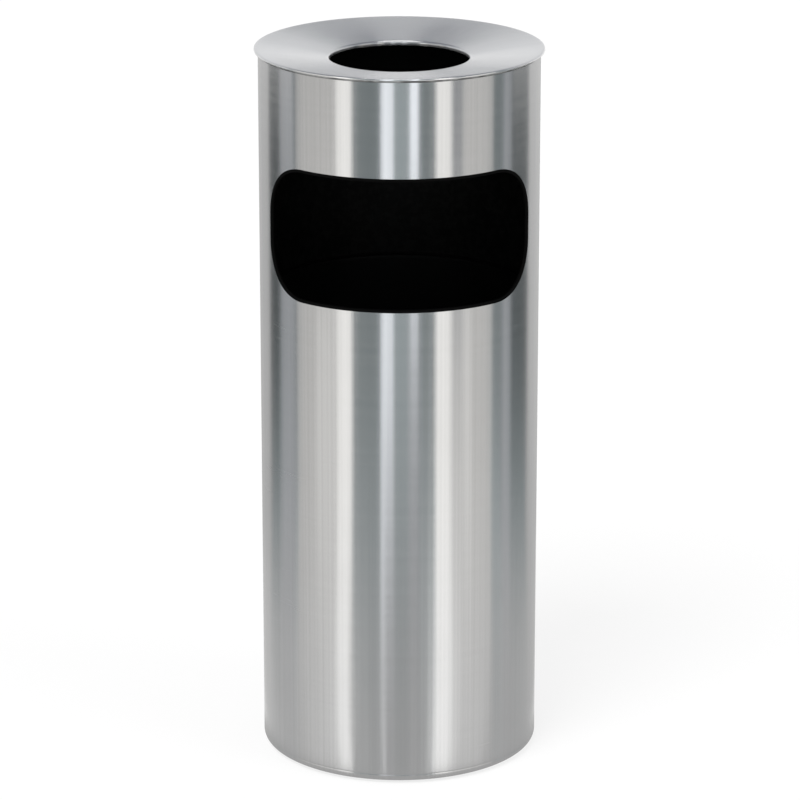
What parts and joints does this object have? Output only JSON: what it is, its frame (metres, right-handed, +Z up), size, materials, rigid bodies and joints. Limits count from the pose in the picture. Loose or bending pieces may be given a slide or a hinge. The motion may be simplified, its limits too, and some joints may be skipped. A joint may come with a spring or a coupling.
{
  "type": "ashtray bin",
  "caption": "Round upright litter bin in brushed steel with a wide wrapped mouth near the top, a dished ashtray lid with a round hole, and a removable inner bin.",
  "frame": {"origin": "on the floor under the tube's axis, at the bottom of the rubber feet", "axes": "+Z up along the tube's axis; the litter mouth faces -Y, the tube's seam is at +Y and the bail's pivots lie on the X axis"},
  "size_m": [0.2574, 0.2574, 0.65],
  "materials": {
    "shell_steel": "brushed stainless steel, fine grain running round the tube",
    "strip_steel": "mill-finish stainless steel strip",
    "sleeve_paint": "matt black powder coat",
    "trim_rubber": "black rubber edge channel",
    "base_paint": "matt black powder coat",
    "foot_rubber": "moulded black rubber",
    "screw_zinc": "zinc-plated steel",
    "washer_zinc": "zinc-plated steel",
    "nut_zinc": "zinc-plated steel",
    "bin_paint": "matt black powder coat",
    "bin_floor_paint": "matt black powder coat",
    "rim_wire_steel": "drawn steel wire, inside the curled rim",
    "ear_paint": "matt black powder coat",
    "rivet_steel": "plain steel, domed heads",
    "bail_paint": "satin black coat over steel wire",
    "grip_plastic": "moulded black plastic with rings",
    "pan_paint": "matt black heatproof coat",
    "lid_steel": "brushed stainless steel, fine circular grain",
    "collar_steel": "mill-finish stainless steel strip"
  },
  "bodies": {
    "housing": {"outer_shell": "shell_steel", "seam_strip": "strip_steel", "throat_sleeve": "sleeve_paint", "mouth_trim": "trim_rubber", "base_pan": "base_paint", "rubber_feet": "foot_rubber", "foot_screws": "screw_zinc", "foot_washers": "washer_zinc", "foot_nuts": "nut_zinc"},
    "inner_bin": {"bin_wall": "bin_paint", "bin_bottom": "bin_floor_paint", "bin_rim_wire": "rim_wire_steel", "bin_ear_right": "ear_paint", "bin_ear_left": "ear_paint", "ear_rivets": "rivet_steel"},
    "bail": {"bail_wire": "bail_paint", "bail_grip": "grip_plastic"},
    "ash_pan": {"ash_pan": "pan_paint"},
    "lid": {"lid_plate": "lid_steel", "lid_collar": "collar_steel"}
  },
  "joints": [
    {"name": "inner_bin_lift", "type": "slide", "parent": "housing", "child": "inner_bin", "axis": [0, 0, 1], "range_m": [0, 0.655]},
    {"name": "bail_swing", "type": "hinge", "parent": "inner_bin", "child": "bail", "pos_m": [0, 0, 0.412], "axis": [-1, 0, 0], "range_deg": [0, 156.6]},
    {"name": "ash_pan_lift", "type": "slide", "parent": "inner_bin", "child": "ash_pan", "axis": [0, 0, 1], "range_m": [0, 0.12]},
    {"name": "lid_lift", "type": "slide", "parent": "ash_pan", "child": "lid", "axis": [0, 0, 1], "range_m": [0, 0.15]}
  ]
}
